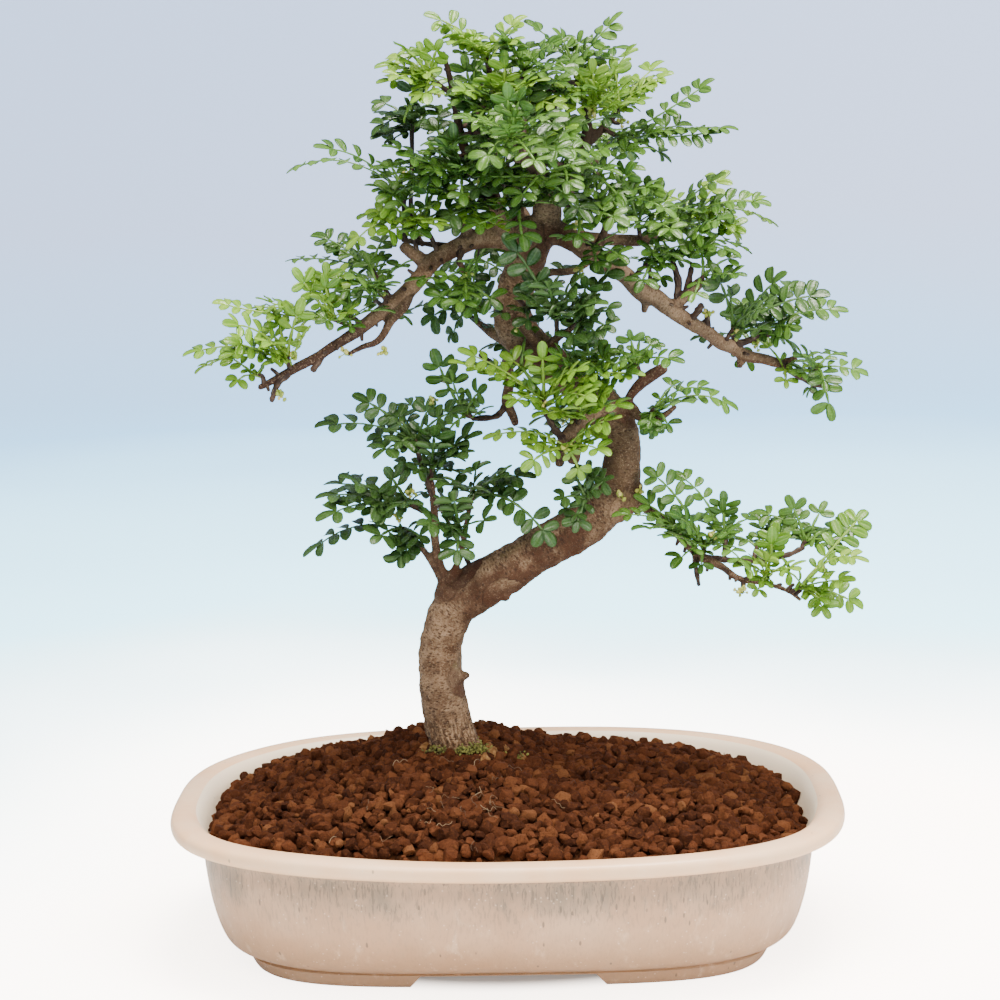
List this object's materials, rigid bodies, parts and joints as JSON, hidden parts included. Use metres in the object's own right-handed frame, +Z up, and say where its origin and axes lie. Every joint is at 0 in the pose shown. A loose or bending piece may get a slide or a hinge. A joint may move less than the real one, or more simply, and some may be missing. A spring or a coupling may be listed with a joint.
{
  "type": "japanese pepper bonsai",
  "caption": "Small bonsai tree with an S-shaped trunk and fine compound leaves, rooted in a mound of clay granules in a shallow oval pot on four low feet.",
  "frame": {"origin": "middle of the whole part's box, at the bottom of the pot's feet", "axes": "+Z up, the front faces -Y, +X to the right as seen from the front; the pot's length lies along X"},
  "size_m": [0.2944, 0.208, 0.3858],
  "materials": {
    "pot_glaze": "satin",
    "clay_granules": "matte",
    "bark": "matte",
    "mesh_plastic": "matte",
    "leaf_new": "satin",
    "leaf_mid": "satin",
    "leaf_dark": "satin"
  },
  "bodies": {
    "root": {"pot": "pot_glaze", "soil": "clay_granules", "wood": "bark", "drainage_mesh_left": "mesh_plastic", "drainage_mesh_right": "mesh_plastic", "leaves_left_tip": "leaf_new", "leaves_left_mid": "leaf_new", "leaves_left_inner": "leaf_mid", "leaves_left_upper": "leaf_mid", "leaves_left_over": "leaf_new", "leaves_left_shoot": "leaf_mid", "leaves_left_high": "leaf_dark", "leaves_mid_left": "leaf_dark", "leaves_mid_left_front": "leaf_mid", "leaves_centre_front": "leaf_dark", "leaves_centre_front_right": "leaf_dark", "leaves_centre_bright": "leaf_new", "leaves_centre_low": "leaf_new", "leaves_centre_mid": "leaf_new", "leaves_centre_right": "leaf_mid", "leaves_trunk_front": "leaf_dark", "leaves_low_right_near": "leaf_mid", "leaves_low_right_stub": "leaf_mid", "leaves_low_right_middle": "leaf_mid", "leaves_low_right_front": "leaf_new", "leaves_low_right_top": "leaf_mid", "leaves_low_right_far": "leaf_new", "leaves_mid_right_top": "leaf_mid", "leaves_mid_right": "leaf_mid", "leaves_right_tip": "leaf_mid", "leaves_right_fork": "leaf_mid", "leaves_right_outer": "leaf_dark", "leaves_right_back_top": "leaf_new", "leaves_right_top": "leaf_mid", "leaves_right_inner": "leaf_mid", "leaves_right_shoulder": "leaf_mid", "leaves_right_shoulder_back": "leaf_mid", "leaves_crown_left": "leaf_new", "leaves_crown_left_low": "leaf_mid", "leaves_crown_flower": "leaf_new", "leaves_crown_peak_left": "leaf_new", "leaves_crown_top_front": "leaf_new", "leaves_crown_top_right": "leaf_mid", "leaves_crown_peak_right": "leaf_mid", "leaves_crown_right": "leaf_new", "leaves_crown_right_edge": "leaf_new", "leaves_crown_right_low": "leaf_mid", "leaves_crown_front": "leaf_mid", "leaves_crown_back_left": "leaf_mid", "leaves_crown_back_middle": "leaf_mid", "leaves_crown_back_right": "leaf_mid", "leaves_back_middle": "leaf_dark", "leaves_back_low": "leaf_dark", "leaves_back_twig": "leaf_mid", "leaves_low_left_top": "leaf_dark", "leaves_low_left_right": "leaf_dark", "leaves_low_left_cascade": "leaf_dark", "leaves_low_left_side": "leaf_dark", "leaves_low_left_low": "leaf_dark", "leaves_low_left_front": "leaf_dark"}
  },
  "joints": []
}
